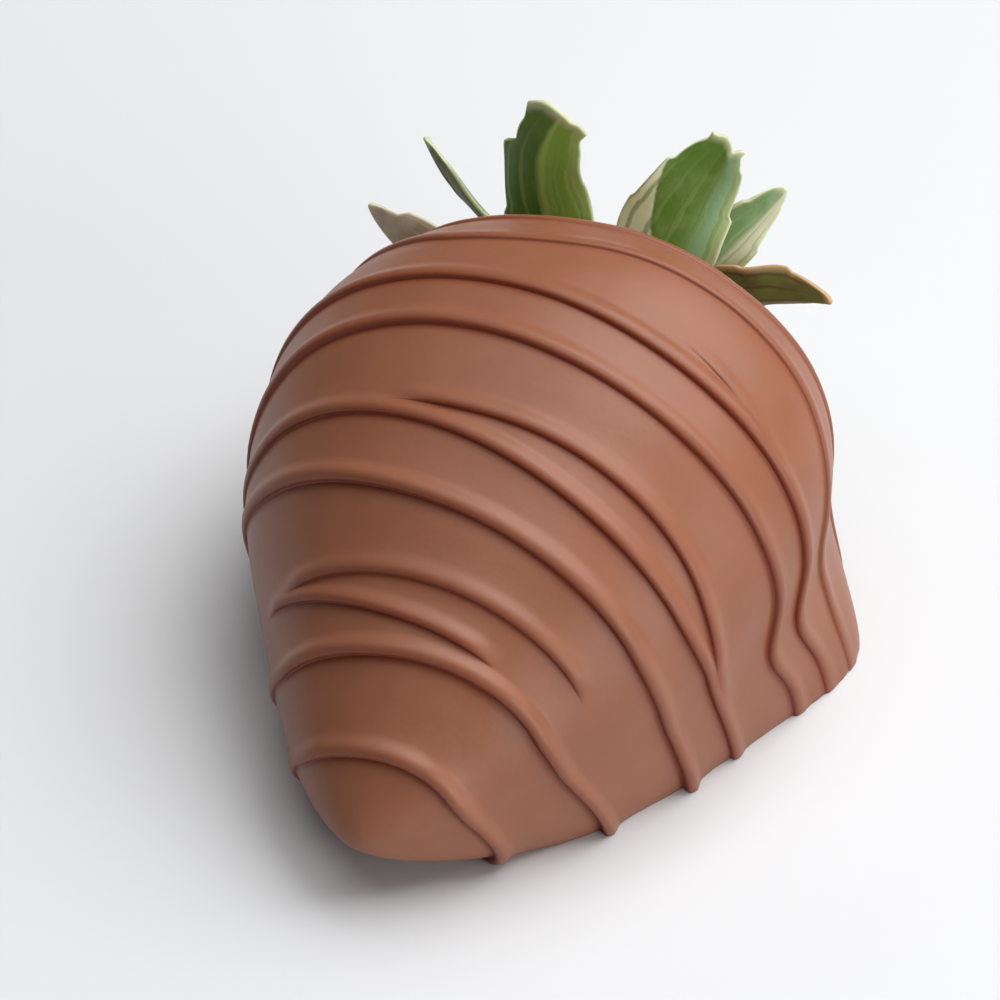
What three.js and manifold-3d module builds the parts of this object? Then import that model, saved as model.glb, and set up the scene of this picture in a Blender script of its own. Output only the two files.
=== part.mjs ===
// A chocolate coated strawberry lying on its side: a milk chocolate coat with raised drizzle
// strands, and the berry's crown of leaves at its blunt end.
// Millimetres, +Z up. The tip points along -Y, the leaves along +Y, and the coat's flat
// underside lies on z = 0.

import * as THREE from 'three';
import { mergeVertices } from 'three/addons/utils/BufferGeometryUtils.js';
import Module from 'manifold-3d';

const wasm = await Module();
wasm.setup();

// ---- coated berry: driving dimensions -----------------------------------------------------
const COAT_LENGTH = 47.7;          // tip to blunt end, along Y
const RIGHT_HALF_WIDTH = 20;       // at the bulge, from the axis to the flank on +X
const LEFT_HALF_WIDTH = 21.6;      // and to the flank on -X
const UPPER_HEIGHT = 16.7;         // at the bulge, section centre to crest
const LOWER_HEIGHT = 17.5;         // the same downwards, before the flat is cut
const TIP_CENTRE_Z = 5.8;          // height of the section centres at the tip
const CAP_CENTRE_Z = 13.6;         // the same at the blunt end
const ARCH = 0.9;                  // rise of their line above a straight one, at mid length
const TIP_ROUNDNESS = 0.81;        // power of the girth's rise from the tip
const TIP_BLUNTNESS = 0.01;        // the share of the length over which the very tip is rounded
const CAP_ROUNDNESS = 0.36;        // power of its fall to the blunt end
const SQUARENESS_RIGHT = 4;        // superellipse power of the lower flank on +X
const SQUARENESS_LEFT = 1.95;      // and on -X, which tucks in more
const HOLLOW_DEPTH = 0.075;        // the left flank is this share slimmer near the tip
const HOLLOW_STATION = 0.24;       // where along the berry
const HOLLOW_REACH = 0.16;         // how far that carries on along the berry
const SHOULDER_RISE = 0.032;       // the blunt end is this share fuller high on the right flank
const SHOULDER_STATION = 0.9;      // where along the berry
const SHOULDER_REACH = 0.2;        // how far that carries on
const FOOT_HEIGHT = 11;            // the foot of pooled chocolate spreads below this height
const FOOT_SPREAD = 5.6;           // its widest spread, on +X near the blunt end
const FOOT_STATION = 0.795;        // where along the berry it is widest
const FOOT_REACH = 0.18;           // how far it carries on along the berry
const FOOT_SPREAD_LEFT = 1;        // the even spread on -X
const FOOT_BLEND = 0.3;            // cosine below the widest line over which the spread sets in
const COAT_ROWS = 84;              // rows of points from the tip to the blunt end
const COAT_COLUMNS = 46;           // points round each row
const CREST_SAMPLES = 240;         // steps in which the crest line is measured
const SLOPE_STEP = 5e-4;           // step, in station and in radians, that slopes are taken over

// ---- drizzle strands ----------------------------------------------------------------------
// Each strand is a low ridge across the berry, steep towards the tip and easy towards the
// leaves, with a crease along its steep side. top: share of the way from tip to blunt end where
// the crease crosses the crest. tilt: what that share gains at the right flank and loses at the
// left. left, right: what it gains down each flank. foot: what it gains again near the plate.
// dip: how far it swings back to the tip above the foot on the right.
// from, to: the angles from the crest, + towards +X, between which a broken strand shows.
const STRANDS = [
  { top: 0.069, tilt: 0.01, left: 0.017, right: 0, foot: 0.045, height: 0.65, width: 3 },
  { top: 0.175, tilt: 0.019, left: 0.016, right: -0.01, foot: 0.078, height: 0.65, width: 2.8 },
  { top: 0.214, tilt: -0.01, left: 0.043, right: 0, foot: 0, height: 0.5, width: 1.9, from: -80, to: 34 },
  { top: 0.261, tilt: 0, left: -0.012, right: -0.01, foot: 0, height: 0.4, width: 2.4, from: -66, to: 68 },
  { top: 0.351, tilt: -0.027, left: 0.027, right: 0.007, foot: 0.064, height: 0.65, width: 3 },
  { top: 0.44, tilt: -0.057, left: -0.052, right: 0.027, foot: 0.072, height: 0.5, width: 2.4 },
  { top: 0.48, tilt: 0, left: 0, right: -0.055, foot: 0.075, height: 0.45, width: 2.2, from: -26, to: 108 },
  { top: 0.596, tilt: -0.034, left: -0.115, right: 0.007, foot: 0.03, dip: 0.03, height: 0.5, width: 2.8 },
  { top: 0.68, tilt: -0.035, left: -0.075, right: 0.003, foot: 0.012, dip: 0.03, height: 0.45, width: 2.8 },
  { top: 0.742, tilt: -0.061, left: 0, right: -0.062, foot: 0, height: 0.25, width: 1.2, from: 24, to: 66 },
  { top: 0.805, tilt: 0.068, left: 0.096, right: -0.156, foot: 0, height: 0.3, width: 2.2 },
  { top: 0.88, tilt: 0.02, left: 0.03, right: -0.05, foot: 0, height: 0.25, width: 2.2 },
  { top: 0.945, tilt: 0, left: 0, right: -0.012, foot: 0, height: 0.25, width: 2.4 },
];
const STEEP_SHARE = 0.3;           // width of a strand's steep side, as a share of its whole width
const FADE_ANGLE = 16;             // a broken strand fades out over this many degrees
const FOOT_ANGLE = 66;             // below this angle a strand swings by its foot value
const FOOT_SWING = 60;             // degrees over which the foot value is gained
const FOOT_POWER = 1.7;            // power of that gain, which carries on underneath
const FOOT_END = 1.3;              // up to this share of the swing
const DIP_ANGLE = 103;             // the angle at which a strand's dip is deepest
const DIP_REACH = 10;              // degrees over which the dip fades to each side
const DRIP_GAIN = 0.1;             // how much higher a strand is where it meets the plate
const DRIP_HEIGHT = 2.5;           // how far up that thickening reaches
const PLATE_THINNING = 0.6;        // share of it that those near the blunt end lose at the plate
const PLATE_STATION = 0.45;        // from this station
const PLATE_REACH = 0.2;           // and fully this much further on
const PLATE_HEIGHT = 4;            // and up to about this height
const LEFT_THINNING = 0.5;         // share of their height that the strands lose down the left flank
const LEFT_START = 40;             // from this angle
const LEFT_REACH = 50;             // and over this many degrees

// ---- crown of leaves ----------------------------------------------------------------------
// angle: round the blunt end from the crest, + towards +X. lift: lean away from the berry.
// curl: what the lean gains from base to tip. sweep: sideways bend, + against the clock seen from
// the tip. fold: depth of the keel as a share of half the width. twist: turn about its own length.
// step: how far behind the crown's first layer it starts. fullness: under 1, the leaf is widest
// nearer its base. blunt: under 1, its far end is blunter. tip: share of its width that a cut-off
// far end keeps. All angles in degrees.
const PLAIN_LEAF = { sweep: 0, fold: 0.25, step: 0, fullness: 0.85, blunt: 0.8, tip: 0 };
const LEAVES = [
  { angle: -70, length: 17.2, width: 7.3, lift: 5.5, curl: 5.5, twist: 12, sweep: -98, fold: 0.1,
    step: 0.5, fullness: 0.77, blunt: 0.25, tip: 0.7 },
  { angle: 9, length: 13.4, width: 7.8, lift: 8, curl: 17, twist: 14, sweep: -19, fold: 0.19,
    fullness: 0.66, blunt: 0.4, tip: 0.4 },
  { angle: 61, length: 11.8, width: 5.3, lift: 16, curl: -12.5, twist: 31, sweep: -18, fold: 0.6,
    blunt: 0.56, dry: true },
  { angle: -94, length: 18.4, width: 2.1, lift: 6.5, curl: 9, twist: -10, sweep: -53, fold: 0.02,
    step: 1.35, blunt: 0.6 },
  { angle: -105, length: 19.5, width: 7.4, lift: 0.5, curl: 0, twist: 5, sweep: -50, fold: 0.05,
    blunt: 0.7 },
  { angle: 125, length: 12, width: 7, lift: 22, curl: 34, twist: -12 },
  { angle: -150, length: 13, width: 5, lift: 26, curl: 30, twist: 2 },
  { angle: 168, length: 11, width: 5.2, lift: 32, curl: 34, twist: -4 },
  { angle: 39, length: 11.2, width: 4.6, lift: 22.5, curl: 14, twist: 12, step: 1.2,
    fullness: 0.78, blunt: 0.65 },
];
const OUTER_LEAVES = [
  { angle: -14, length: 7, width: 4, lift: 58, curl: 12, twist: 12 },
  { angle: -72, length: 6, width: 4.2, lift: 56, curl: 14, twist: -18 },
  { angle: 92, length: 8, width: 3.8, lift: 56, curl: 16, twist: 14 },
  { angle: -124, length: 10, width: 4, lift: 56, curl: 12, twist: -10 },
  { angle: 146, length: 10, width: 3.8, lift: 58, curl: 14, twist: 8 },
];
const LEAF_THICKNESS = 0.5;
const LEAF_ROWS = 9;
const LEAF_COLUMNS = 4;
const LEAF_BASE = 0.035;           // where on the leaf's oval outline its base is cut
const LEAF_TIP_HALF_WIDTH = 0.35;
const LEAF_TOOTH = 0.14;           // every other row steps in by this share of the half width
const LEAF_WAVE = 0.45;            // height of the ripple along a leaf's edges
const LEAF_WAVES = 1.6;            // ripples along its length
const LEAF_SHEAR = 2;              // radians by which the ripple differs between its two edges
const GAP = 0.3;                   // clear space between neighbouring solids

// ---- calyx disc and stem ------------------------------------------------------------------
const DISC_RADIUS = 3.2;
const DISC_THICKNESS = 2.1;
const DISC_RIM = 0.7;              // height of its upright edge
const DISC_RINGS = 4;
const ROUND_SIDES = 16;
const STEM_RADIUS = 1.0;
const STEM_END_RADIUS = 0.85;
const STEM_LENGTH = 4.5;
const STEM_LEAN = THREE.MathUtils.degToRad(12);
const OUTER_LEAF_STEP = 1.15;      // the outer leaves leave the disc this much further out

const { cos, sin, pow, abs, sign, min, max, PI } = Math;
const radians = THREE.MathUtils.degToRad;
const clamp = THREE.MathUtils.clamp;

// ---- shape of the coat --------------------------------------------------------------------
const BULGE_STATION = TIP_ROUNDNESS / (TIP_ROUNDNESS + CAP_ROUNDNESS);

// Girth at a station, as a share of the bulge's: 0 at the tip and at the blunt end.
function girth(station) {
  const blunted = (share) => share * (share + 2 * TIP_BLUNTNESS);
  const rise = pow(blunted(station) / blunted(BULGE_STATION), TIP_ROUNDNESS / 2);
  const fall = pow((1 - station) / (1 - BULGE_STATION), CAP_ROUNDNESS);
  return rise * fall;
}

// A smooth hump: 1 at its centre, falling off over its reach to both sides.
function hump(place, centre, reach) {
  return Math.exp(-pow((place - centre) / reach, 2));
}

// Height of the section centres.
function centreHeight(station) {
  const straight = THREE.MathUtils.lerp(TIP_CENTRE_Z, CAP_CENTRE_Z, station);
  return straight + 4 * ARCH * station * (1 - station);
}

// How far the foot of pooled chocolate pushes a low point outwards.
function footSpread(station, angle, z) {
  const low = pow(clamp(1 - z / FOOT_HEIGHT, 0, 1), 2) * min(2 * girth(station), 1);
  const swell = hump(station, FOOT_STATION, FOOT_REACH);
  const right = THREE.MathUtils.lerp(FOOT_SPREAD_LEFT, FOOT_SPREAD, swell);
  const spread = sin(angle) > 0 ? right : FOOT_SPREAD_LEFT;
  const onset = THREE.MathUtils.smoothstep(-cos(angle), 0, FOOT_BLEND);
  return sign(sin(angle)) * spread * low * onset * Math.sqrt(abs(sin(angle)));
}

// A point of the coat's skin. The angle is counted from the crest, + towards +X.
function skinPoint(station, angle) {
  const s = sin(angle);
  const c = cos(angle);
  const flank = s > 0 ? SQUARENESS_RIGHT : SQUARENESS_LEFT;
  const power = c > 0 ? 2 : flank;
  const shoulder = 1 + SHOULDER_RISE * 2 * s * c * hump(station, SHOULDER_STATION, SHOULDER_REACH);
  const round = pow(pow(abs(s), power) + pow(abs(c), power), 1 / power);
  const reach = (girth(station) * shoulder) / round;
  const z = centreHeight(station) + (c > 0 ? UPPER_HEIGHT : LOWER_HEIGHT) * reach * c;
  const hollow = 1 - HOLLOW_DEPTH * hump(station, HOLLOW_STATION, HOLLOW_REACH);
  const halfWidth = s > 0 ? RIGHT_HALF_WIDTH : LEFT_HALF_WIDTH * hollow;
  const x = halfWidth * reach * s + footSpread(station, angle, z);
  return new THREE.Vector3(x, COAT_LENGTH * (station - 0.5), z);
}

// The outward direction of the skin at a point.
function skinNormal(station, angle) {
  const inside = clamp(station, 2 * SLOPE_STEP, 1 - 2 * SLOPE_STEP);
  const along = skinPoint(inside + SLOPE_STEP, angle).sub(skinPoint(inside - SLOPE_STEP, angle));
  const round = skinPoint(inside, angle + SLOPE_STEP).sub(skinPoint(inside, angle - SLOPE_STEP));
  return round.cross(along).normalize();
}

// ---- closed meshes and solids -------------------------------------------------------------
function meshFromRows(rows, firstPole, lastPole) {
  const points = [firstPole, ...rows.flat(), lastPole];
  const columns = rows[0].length;
  const index = [];
  const at = (row, column) => 1 + row * columns + (column % columns);
  for (let column = 0; column < columns; column++) {
    index.push(0, at(0, column + 1), at(0, column));
    for (let row = 0; row + 1 < rows.length; row++) {
      index.push(at(row, column), at(row + 1, column + 1), at(row + 1, column));
      index.push(at(row, column), at(row, column + 1), at(row + 1, column + 1));
    }
    index.push(points.length - 1, at(rows.length - 1, column), at(rows.length - 1, column + 1));
  }
  const geometry = new THREE.BufferGeometry().setFromPoints(points);
  geometry.setIndex(index);
  return geometry;
}

function toSolid(source) {
  const bare = source.clone();
  bare.deleteAttribute('normal');
  bare.deleteAttribute('uv');
  const merged = mergeVertices(bare);
  const vertProperties = new Float32Array(merged.attributes.position.array);
  const triVerts = new Uint32Array(merged.index.array);
  return new wasm.Manifold(new wasm.Mesh({ numProp: 3, vertProperties, triVerts }));
}

function toGeometry(solid) {
  const mesh = solid.getMesh();
  const geometry = new THREE.BufferGeometry();
  geometry.setAttribute('position', new THREE.BufferAttribute(mesh.vertProperties, mesh.numProp));
  geometry.setIndex(new THREE.BufferAttribute(mesh.triVerts, 1));
  geometry.computeVertexNormals();
  return geometry;
}

// ---- distance along the crest -------------------------------------------------------------
// Distance from the tip along the crest line, at evenly spaced stations.
const CREST = [0];
for (let i = 1; i <= CREST_SAMPLES; i++) {
  const here = skinPoint(i / CREST_SAMPLES, 0);
  CREST.push(CREST[i - 1] + here.distanceTo(skinPoint((i - 1) / CREST_SAMPLES, 0)));
}
const CREST_LENGTH = CREST[CREST_SAMPLES];

function crestDistance(station) {
  const place = clamp(station, 0, 1) * CREST_SAMPLES;
  const below = min(Math.floor(place), CREST_SAMPLES - 1);
  return THREE.MathUtils.lerp(CREST[below], CREST[below + 1], place - below);
}

// The station that lies a given distance from the tip along the crest.
function stationAt(distance) {
  const above = CREST.findIndex((length) => length >= distance);
  const share = (distance - CREST[above - 1]) / (CREST[above] - CREST[above - 1]);
  return (above - 1 + share) / CREST_SAMPLES;
}

// ---- chocolate coat -----------------------------------------------------------------------
// Where a strand's crease runs at an angle from the crest, as a station along the berry.
function strandStation(strand, angle) {
  const upper = clamp(angle, -PI / 2, PI / 2);
  const drift = (angle > 0 ? strand.right : strand.left) * (1 - cos(upper)) + strand.tilt * sin(upper);
  const below = clamp((abs(angle) - radians(FOOT_ANGLE)) / radians(FOOT_SWING), 0, FOOT_END);
  const dip = (strand.dip ?? 0) * hump(angle, radians(DIP_ANGLE), radians(DIP_REACH));
  return clamp(strand.top + drift + strand.foot * pow(below, FOOT_POWER) - dip, 0, 1);
}

// Share of its full height that a strand has at an angle: a broken one fades at both ends.
function strandPresence(strand, angle) {
  if (strand.from === undefined) {
    return 1;
  }
  const toEnd = min(angle - radians(strand.from), radians(strand.to) - angle);
  return clamp(toEnd / radians(FADE_ANGLE), 0, 1);
}

// A strand's cross-section: 0 at its crease, 1 on its ridge, and 0 again at x = 1.
function ridge(x) {
  if (x < 0 || x > 1) {
    return 0;
  }
  const front = (STEEP_SHARE - x) / STEEP_SHARE;
  const back = (x - STEEP_SHARE) / (1 - STEEP_SHARE);
  return x < STEEP_SHARE ? Math.sqrt(1 - front * front) : pow(cos((PI * back) / 2), 2);
}

// Share of their height that the strands have at a place of the skin.
function thinning(station, angle, z) {
  const left = THREE.MathUtils.smoothstep(-angle, radians(LEFT_START), radians(LEFT_START + LEFT_REACH));
  const blunt = clamp((station - PLATE_STATION) / PLATE_REACH, 0, 1);
  return (1 - LEFT_THINNING * left) * (1 - PLATE_THINNING * blunt * hump(max(z, 0), 0, PLATE_HEIGHT));
}

// Height of the drizzle over the skin.
function relief(station, angle, z) {
  const heights = STRANDS.map((strand) => {
    const offset = crestDistance(station) - crestDistance(strandStation(strand, angle));
    return strand.height * strandPresence(strand, angle) * ridge(offset / strand.width);
  });
  const thickening = 1 + DRIP_GAIN * hump(max(z, 0), 0, DRIP_HEIGHT);
  return max(...heights) * thickening * thinning(station, angle, z);
}

function coatPoint(station, angle) {
  const point = skinPoint(station, angle);
  return point.addScaledVector(skinNormal(station, angle), relief(station, angle, point.z));
}

function chocolateCoat() {
  const rows = [];
  for (let i = 1; i < COAT_ROWS; i++) {
    const station = stationAt((CREST_LENGTH * i) / COAT_ROWS);
    const row = [];
    for (let j = 0; j < COAT_COLUMNS; j++) {
      row.push(coatPoint(station, (2 * PI * j) / COAT_COLUMNS - PI));
    }
    rows.push(row);
  }
  const tip = new THREE.Vector3(0, -COAT_LENGTH / 2, TIP_CENTRE_Z);
  const cap = new THREE.Vector3(0, COAT_LENGTH / 2, CAP_CENTRE_Z);
  const whole = toSolid(meshFromRows(rows, tip, cap));
  const room = 3 * COAT_LENGTH;
  const above = new THREE.BoxGeometry(room, room, room).translate(0, 0, room / 2);
  return toGeometry(whole.intersect(toSolid(above)));
}

// ---- leaves -------------------------------------------------------------------------------
// Half the width of a leaf, u = 0 at its base and 1 at its tip.
function leafHalfWidth(leaf, u, row) {
  const oval = sin(PI * pow(LEAF_BASE + (1 - LEAF_BASE) * u, leaf.fullness));
  const rounded = pow(oval, THREE.MathUtils.lerp(1, leaf.blunt, min(2 * u, 1)));
  const outline = max(rounded, leaf.tip * u);
  const tooth = row % 2 ? 0 : LEAF_TOOTH;
  return max((leaf.width / 2) * outline * (1 - tooth), LEAF_TIP_HALF_WIDTH);
}

// One face of a leaf as rows of points, offset by half its thickness to the given side.
function leafFace(leaf, side) {
  const outward = new THREE.Vector3(sin(radians(leaf.angle)), 0, cos(radians(leaf.angle)));
  const back = new THREE.Vector3(0, 1, 0);
  const across = new THREE.Vector3().crossVectors(outward, back);
  const centre = outward.clone().multiplyScalar(DISC_RADIUS + GAP);
  const rows = [];
  for (let i = 0; i <= LEAF_ROWS; i++) {
    const u = i / LEAF_ROWS;
    const lean = radians(leaf.lift + leaf.curl * u);
    const upright = outward.clone().multiplyScalar(cos(lean)).addScaledVector(back, sin(lean));
    const bend = radians(leaf.sweep * u);
    const forward = upright.clone().multiplyScalar(cos(bend)).addScaledVector(across, sin(bend));
    const square = across.clone().multiplyScalar(cos(bend)).addScaledVector(upright, -sin(bend));
    if (i > 0) {
      centre.addScaledVector(forward, leaf.length / LEAF_ROWS);
    }
    const turn = radians(leaf.twist * u);
    const sideways = square.applyAxisAngle(forward, turn);
    const normal = new THREE.Vector3().crossVectors(sideways, forward);
    const half = leafHalfWidth(leaf, u, i);
    const row = [];
    for (let j = 0; j <= LEAF_COLUMNS; j++) {
      const v = (2 * j) / LEAF_COLUMNS - 1;
      const ripple = LEAF_WAVE * v * v * sin(2 * PI * LEAF_WAVES * u + LEAF_SHEAR * v + leaf.angle);
      const keel = leaf.fold * half * abs(v);
      const height = keel + ripple * sin(PI * u) + (side * LEAF_THICKNESS) / 2;
      row.push(centre.clone().addScaledVector(sideways, half * v).addScaledVector(normal, height));
    }
    rows.push(row);
  }
  return rows;
}

function leafGeometry(leaf) {
  const upper = leafFace(leaf, 1);
  const lower = leafFace(leaf, -1);
  const points = [...upper.flat(), ...lower.flat()];
  const columns = LEAF_COLUMNS + 1;
  const lowerStart = upper.length * columns;
  const index = [];
  const quad = (a, b, c, d) => index.push(a, b, c, a, c, d);
  for (let i = 0; i < LEAF_ROWS; i++) {
    for (let j = 0; j < LEAF_COLUMNS; j++) {
      const a = i * columns + j;
      const b = a + 1;
      const c = b + columns;
      const d = a + columns;
      quad(a, b, c, d);
      index.push(lowerStart + a, lowerStart + c, lowerStart + b);
      index.push(lowerStart + a, lowerStart + d, lowerStart + c);
    }
  }
  const sides = [[1, LEAF_COLUMNS], [columns, LEAF_ROWS], [-1, LEAF_COLUMNS], [-columns, LEAF_ROWS]];
  let here = 0;
  for (const [step, count] of sides) {
    for (let k = 0; k < count; k++) {
      const next = here + step;
      quad(here, lowerStart + here, lowerStart + next, next);
      here = next;
    }
  }
  const geometry = new THREE.BufferGeometry().setFromPoints(points);
  geometry.setIndex(index);
  geometry.computeVertexNormals();
  return geometry;
}

// ---- calyx disc and stem ------------------------------------------------------------------
// The disc is flat towards the berry and domed away from it.
function discGeometry() {
  const profile = [new THREE.Vector2(0, 0), new THREE.Vector2(DISC_RADIUS, 0)];
  for (let i = 0; i < DISC_RINGS; i++) {
    const slope = (PI / 2) * (i / DISC_RINGS);
    const height = THREE.MathUtils.lerp(DISC_RIM, DISC_THICKNESS, sin(slope));
    profile.push(new THREE.Vector2(DISC_RADIUS * cos(slope), height));
  }
  profile.push(new THREE.Vector2(0, DISC_THICKNESS));
  return new THREE.LatheGeometry(profile, ROUND_SIDES);
}

function stemGeometry() {
  return new THREE.CylinderGeometry(STEM_END_RADIUS, STEM_RADIUS, STEM_LENGTH, ROUND_SIDES);
}

// ---- materials ----------------------------------------------------------------------------
function finish(color, roughness) {
  return new THREE.MeshStandardMaterial({ color, roughness, metalness: 0 });
}

const MILK_CHOCOLATE = finish(0x935f48, 0.42);
const LEAF_GREEN = finish(0x55772f, 0.6);
const LEAF_DRY = finish(0x857a4e, 0.8);
const STEM_GREEN = finish(0x8b9a52, 0.6);

function addPiece(parent, name, geometry, material) {
  const mesh = new THREE.Mesh(geometry, material.clone());
  mesh.name = name;
  parent.add(mesh);
  return mesh;
}

// ---- the strawberry -----------------------------------------------------------------------
const strawberry = new THREE.Group();
addPiece(strawberry, 'chocolate_coat', chocolateCoat(), MILK_CHOCOLATE);

const crown = new THREE.Group();
crown.position.set(0, COAT_LENGTH / 2 + GAP, CAP_CENTRE_Z);
strawberry.add(crown);

addPiece(crown, 'calyx_disc', discGeometry(), STEM_GREEN);
const stem = addPiece(crown, 'stem_stub', stemGeometry(), STEM_GREEN);
stem.position.y = DISC_THICKNESS + 2 * GAP + (STEM_LENGTH / 2) * cos(STEM_LEAN);
stem.rotation.x = STEM_LEAN;

function addLeaves(leaves, name, layer) {
  leaves.forEach((own, index) => {
    const leaf = { ...PLAIN_LEAF, ...own };
    const material = leaf.dry ? LEAF_DRY : LEAF_GREEN;
    const mesh = addPiece(crown, `${name}_${index + 1}`, leafGeometry(leaf), material);
    mesh.position.y = LEAF_THICKNESS + layer + leaf.step;
  });
}

addLeaves(LEAVES, 'leaf', 0);
addLeaves(OUTER_LEAVES, 'outer_leaf', OUTER_LEAF_STEP);

// The origin is the middle of the whole piece's footprint, on the plate.
const footprint = new THREE.Box3().setFromObject(strawberry);
const middle = footprint.getCenter(new THREE.Vector3());
strawberry.position.set(-middle.x, -middle.y, 0);
strawberry.updateMatrixWorld(true);

export default strawberry;
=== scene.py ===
"""A chocolate coated strawberry lying on its side, modelled over its fixed frame.

Lengths are metres in the frame's axes: the tip points along -Y, the leaves along +Y and the
coat's flat underside lies on z = 0. Angles round the berry count from its crest, + towards +X.
"""

import math
from collections import namedtuple

import bpy
import numpy as np
from bpy.props import FloatProperty, FloatVectorProperty, IntProperty, PointerProperty
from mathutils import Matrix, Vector, noise


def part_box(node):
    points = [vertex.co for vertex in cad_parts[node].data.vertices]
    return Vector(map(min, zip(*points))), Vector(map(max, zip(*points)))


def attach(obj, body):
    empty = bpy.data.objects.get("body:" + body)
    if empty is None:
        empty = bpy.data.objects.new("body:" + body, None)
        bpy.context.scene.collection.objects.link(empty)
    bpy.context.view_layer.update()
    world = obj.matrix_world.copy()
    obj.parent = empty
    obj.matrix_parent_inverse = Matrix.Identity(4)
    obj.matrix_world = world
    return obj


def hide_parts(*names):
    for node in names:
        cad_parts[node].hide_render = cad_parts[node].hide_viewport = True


bl_info = {
    "name": "Chocolate Coated Strawberry",
    "version": (1, 0, 0),
    "blender": (4, 5, 0),
    "location": "3D View > Sidebar > Strawberry",
    "description": "Models a milk chocolate coated strawberry with drizzle and a crown of leaves",
    "category": "Object",
}

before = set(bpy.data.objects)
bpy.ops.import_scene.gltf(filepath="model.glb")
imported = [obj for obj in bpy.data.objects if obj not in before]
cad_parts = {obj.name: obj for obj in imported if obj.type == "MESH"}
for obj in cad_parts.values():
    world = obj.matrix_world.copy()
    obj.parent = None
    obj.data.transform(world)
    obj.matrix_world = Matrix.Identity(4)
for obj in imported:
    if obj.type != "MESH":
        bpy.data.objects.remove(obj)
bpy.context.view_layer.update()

MM = 0.001
BODY = "root"


def srgb(red, green, blue):
    """Linear colour of a colour given as 0 to 255 per channel."""
    shares = [value / 255 for value in (red, green, blue)]
    return [s / 12.92 if s <= 0.04045 else ((s + 0.055) / 1.055) ** 2.4 for s in shares]


# ---- the coat's skin ------------------------------------------------------------------------
COAT_LENGTH = 47.7 * MM
TIP_CENTRE_Z = 5.8 * MM  # height of the section centres at the tip
CAP_CENTRE_Z = 13.6 * MM  # the same at the blunt end
ARCH = 0.9 * MM  # rise of their line above a straight one, at mid length
TIP_ROUNDNESS = 0.81  # power of the girth's rise from the tip
TIP_BLUNTNESS = 0.01  # share of the length over which the very tip is rounded
CAP_ROUNDNESS = 0.36  # power of its fall to the blunt end
SQUARENESS_RIGHT = 4.0  # superellipse power of the lower flank on +X
SQUARENESS_LEFT = 1.95  # and on -X, which tucks in more
HOLLOW = (0.075, 0.24, 0.16)  # share by which the left flank is slimmer, its station and reach
SHOULDER_RISE = (0.032, 0.9, 0.2)  # share by which the blunt end is fuller high on the right
FOOT_STATION = 0.795  # where along the berry the foot is widest
FOOT_REACH = 0.18  # how far it carries on along the berry
FOOT_SPREAD_LEFT = 1 * MM  # the even spread on -X
FOOT_BLEND = 0.3  # cosine below the widest line over which the spread sets in
CREST_SAMPLES = 1200  # steps in which the crest line is measured
CREST_CROWDING = 3  # power by which they crowd towards the blunt end
SLOPE_STEP = 5e-4  # step in station and radians that the skin's slope is taken over
CLEARANCE = 0.3 * MM  # between the coat and the crown

# ---- drizzle --------------------------------------------------------------------------------
# top: share of the way from tip to blunt end where a strand's crease crosses the crest. tilt:
# what that share gains at the right flank and loses at the left. left, right: what it gains down
# each flank. foot: what it gains again near the plate. dip: how far it swings back above the foot.
# start, end: the degrees from the crest between which a broken strand shows.
Strand = namedtuple(
    "Strand", "top tilt left right foot dip height width start end", defaults=(None, None)
)
STRANDS = (
    Strand(0.069, 0.01, 0.017, 0, 0.045, 0, 0.65 * MM, 3 * MM),
    Strand(0.175, 0.019, 0.016, -0.01, 0.078, 0, 0.65 * MM, 2.8 * MM),
    Strand(0.214, -0.01, 0.043, 0, 0, 0, 0.5 * MM, 1.9 * MM, -80, 34),
    Strand(0.261, 0, -0.012, -0.01, 0, 0, 0.4 * MM, 2.4 * MM, -66, 68),
    Strand(0.351, -0.027, 0.027, 0.007, 0.064, 0, 0.65 * MM, 3 * MM),
    Strand(0.44, -0.057, -0.052, 0.027, 0.072, 0, 0.5 * MM, 2.4 * MM),
    Strand(0.48, 0, 0, -0.055, 0.075, 0, 0.45 * MM, 2.2 * MM, -26, 108),
    Strand(0.596, -0.034, -0.115, 0.007, 0.03, 0.03, 0.5 * MM, 2.8 * MM),
    Strand(0.68, -0.035, -0.075, 0.003, 0.012, 0.03, 0.45 * MM, 2.8 * MM),
    Strand(0.742, -0.061, 0, -0.062, 0, 0, 0.25 * MM, 1.2 * MM, 24, 66),
    Strand(0.805, 0.068, 0.096, -0.156, 0, 0, 0.3 * MM, 2.2 * MM),
    Strand(0.88, 0.02, 0.03, -0.05, 0, 0, 0.25 * MM, 2.2 * MM),
    Strand(0.945, 0, 0, -0.012, 0, 0, 0.25 * MM, 2.4 * MM),
)
STRAND_PHASE = 2.4  # radians by which the unevenness differs between neighbours
STRAND_GAP = 0.012  # neighbouring strands stay this share of the length apart
FADE_ANGLE = math.radians(16)  # a broken strand fades out over this angle
FOOT_ANGLE = math.radians(66)  # below this angle a strand swings by its foot value
FOOT_SWING = math.radians(60)  # angle over which the foot value is gained
FOOT_POWER = 1.7  # power of that gain, which carries on underneath
FOOT_END = 1.3  # up to this share of the swing
DIP = (math.radians(103), math.radians(10))  # angle at which a dip is deepest, and its reach
DRIP_GAIN = 0.1  # how much higher a strand is where it meets the plate
DRIP_HEIGHT = 2.5 * MM  # how far up that thickening reaches
PLATE_THINNING = 0.6  # share of it that those near the blunt end lose at the plate
PLATE_STATION = 0.45  # from this station
PLATE_REACH = 0.2  # and fully this much further on
PLATE_HEIGHT = 4 * MM  # and up to about this height
LEFT_THINNING = 0.5  # share of their height that the strands lose down the left flank
LEFT_START = math.radians(40)  # from this angle
LEFT_REACH = math.radians(50)  # and over this one
BEAD_FRONT = 0.2  # width of a strand's round front, as a share of its width
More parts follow.
